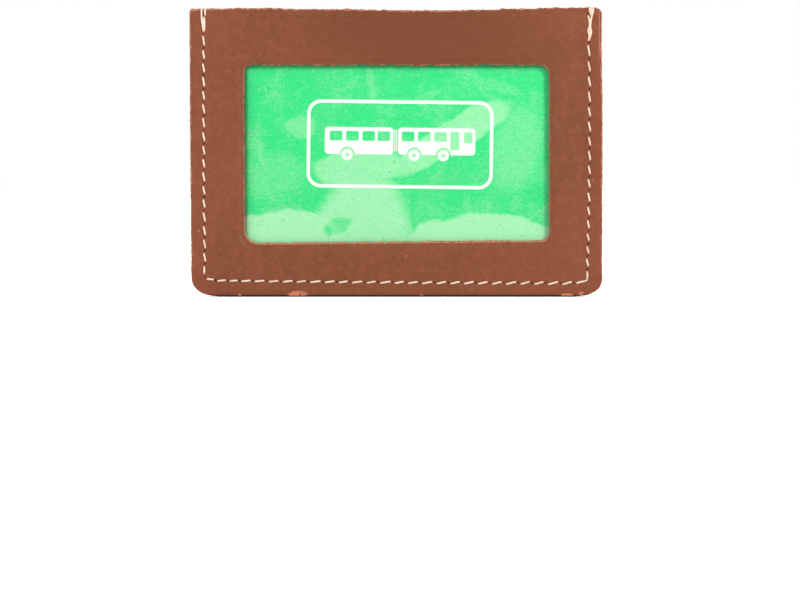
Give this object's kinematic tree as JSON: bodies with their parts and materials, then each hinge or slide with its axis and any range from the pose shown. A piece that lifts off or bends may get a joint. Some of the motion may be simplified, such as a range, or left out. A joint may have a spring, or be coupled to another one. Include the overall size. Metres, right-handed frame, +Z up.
{
  "type": "bus pass holder",
  "caption": "Flat stitched leather pocket with a clear rounded window and a card that slides out of its open top edge.",
  "frame": {"origin": "middle of the bottom edge, half way through the thickness", "axes": "+X to the right as seen from the window side, -Y out of the window side, +Z up towards the open mouth"},
  "size_m": [0.1, 0.0042, 0.0706],
  "materials": {
    "leather": "smooth brown leather with a soft gloss and raw cut edges",
    "film": "clear flexible plastic film",
    "card": "plastic card printed a mottled light green with a white device",
    "thread": "twisted cream sewing thread"
  },
  "bodies": {
    "holder": {"front_panel": "leather", "window_film": "film", "back_panel": "leather", "needle_thread": "thread", "bobbin_thread": "thread"},
    "card": {"pass_card": "card"}
  },
  "joints": [
    {"name": "card_slide", "type": "slide", "parent": "holder", "child": "card", "axis": [0, 0, 1], "range_m": [0, 0.0649]}
  ]
}
